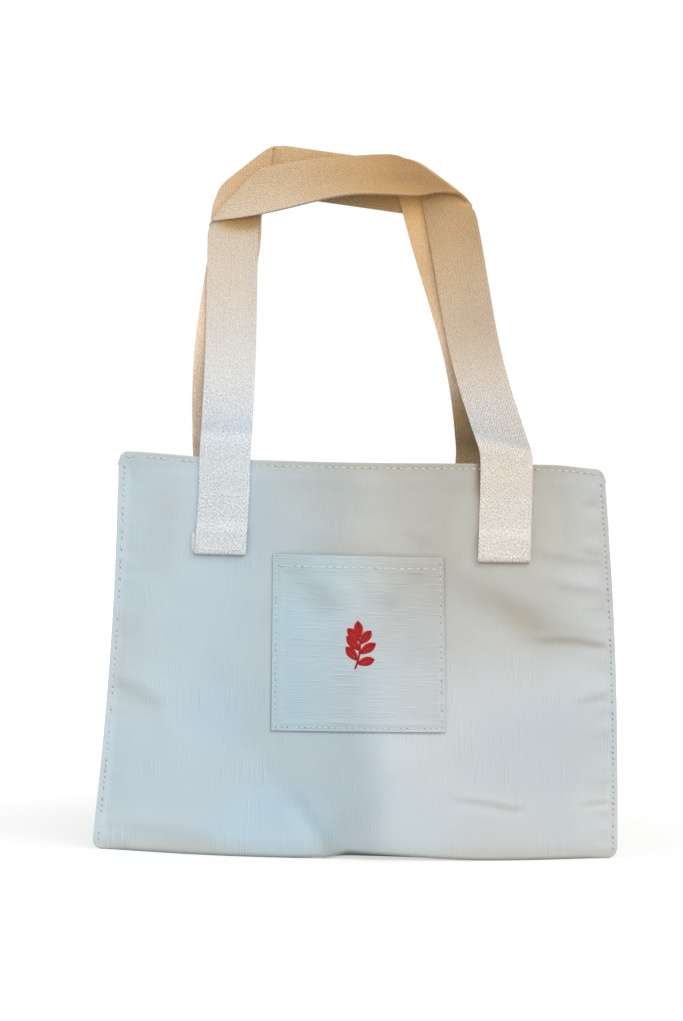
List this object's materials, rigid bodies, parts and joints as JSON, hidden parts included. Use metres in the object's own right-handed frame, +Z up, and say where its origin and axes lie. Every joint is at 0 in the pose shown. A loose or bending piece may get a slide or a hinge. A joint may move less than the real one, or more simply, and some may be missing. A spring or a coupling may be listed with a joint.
{
  "type": "tote bag",
  "caption": "Open canvas tote bag that stands on a flat lens-shaped base, with webbing carry handles that swing outwards and a patch pocket on the front.",
  "frame": {"origin": "on the ground under the middle of the base", "axes": "+Z up, -Y out of the front face that carries the pocket, +X to the right as seen from the front"},
  "size_m": [0.3964, 0.0761, 0.5327],
  "materials": {
    "canvas": "pale blue-grey plain-weave cotton canvas, matt",
    "webbing": "natural cotton webbing, matt"
  },
  "bodies": {
    "bag": {"front_panel": "canvas", "back_panel": "canvas", "base_panel": "canvas", "patch_pocket": "canvas", "front_left_strap_end": "webbing", "front_right_strap_end": "webbing", "back_left_strap_end": "webbing", "back_right_strap_end": "webbing"},
    "front_handle": {"front_handle_strap": "webbing"},
    "back_handle": {"back_handle_strap": "webbing"}
  },
  "joints": [
    {"name": "front_handle_swing", "type": "hinge", "parent": "bag", "child": "front_handle", "pos_m": [0, -0.02245, 0.271], "axis": [1, 0, 0], "range_deg": [0, 170]},
    {"name": "back_handle_swing", "type": "hinge", "parent": "bag", "child": "back_handle", "pos_m": [0, 0.02343, 0.271], "axis": [-1, 0, 0], "range_deg": [0, 170]}
  ]
}
